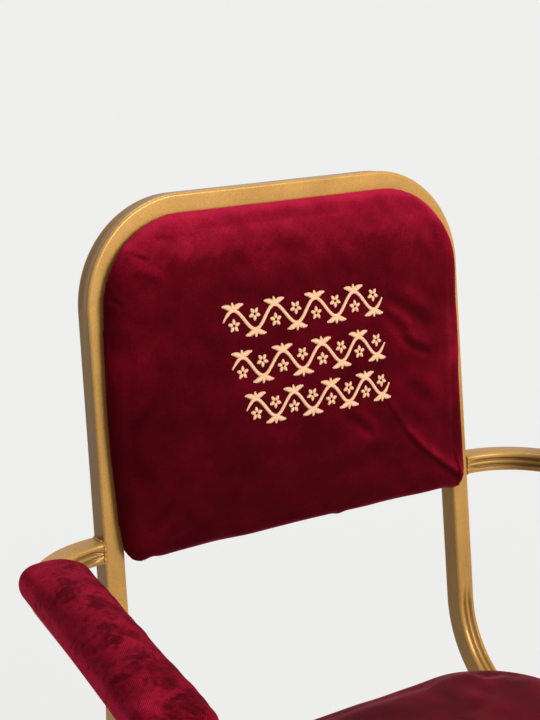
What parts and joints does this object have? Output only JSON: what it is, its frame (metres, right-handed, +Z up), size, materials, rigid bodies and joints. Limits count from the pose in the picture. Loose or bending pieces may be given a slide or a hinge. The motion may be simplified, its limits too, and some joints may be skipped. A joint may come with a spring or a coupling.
{
  "type": "prayer chair",
  "caption": "Padded armchair for prayer rooms on a bent steel tube frame, with velvet back, seat and arm pads",
  "frame": {"origin": "On the floor, midway between the two sides and midway between the front and the rear feet", "axes": "+Z up, the chair faces -Y, +X is to the right of someone who looks at it from the front"},
  "size_m": [0.8336, 0.6159, 0.9997],
  "materials": {
    "gold_paint": "satin",
    "zinc": "satin",
    "black_plastic": "matte",
    "plywood": "matte",
    "foam": "matte",
    "velvet": "matte",
    "black_cloth": "matte"
  },
  "bodies": {
    "root": {"back_tube": "gold_paint", "seat_leg_tube_right": "gold_paint", "seat_leg_tube_left": "gold_paint", "rear_leg_right": "gold_paint", "rear_leg_left": "gold_paint", "front_cross_rail": "gold_paint", "rear_cross_rail": "gold_paint", "arm_tube_right": "gold_paint", "arm_tube_left": "gold_paint", "arm_post_right": "gold_paint", "arm_post_left": "gold_paint", "back_tabs": "gold_paint", "joint_sleeves": "zinc", "back_bolts": "zinc", "back_tee_nuts": "zinc", "seat_bolts": "zinc", "seat_washers": "zinc", "seat_tee_nuts": "zinc", "arm_pad_screws_right": "zinc", "arm_pad_screws_left": "zinc", "foot_caps_front": "black_plastic", "foot_caps_rear": "black_plastic", "arm_end_plugs": "black_plastic", "back_board": "plywood", "seat_board": "plywood", "arm_board_right": "plywood", "arm_board_left": "plywood", "back_foam": "foam", "seat_foam": "foam", "arm_foam_right": "foam", "arm_foam_left": "foam", "back_pad_cover": "velvet", "back_rear_panel": "velvet", "seat_cover": "velvet", "arm_pad_cover_right": "velvet", "arm_pad_cover_left": "velvet", "seat_base_cloth": "black_cloth"}
  },
  "joints": []
}
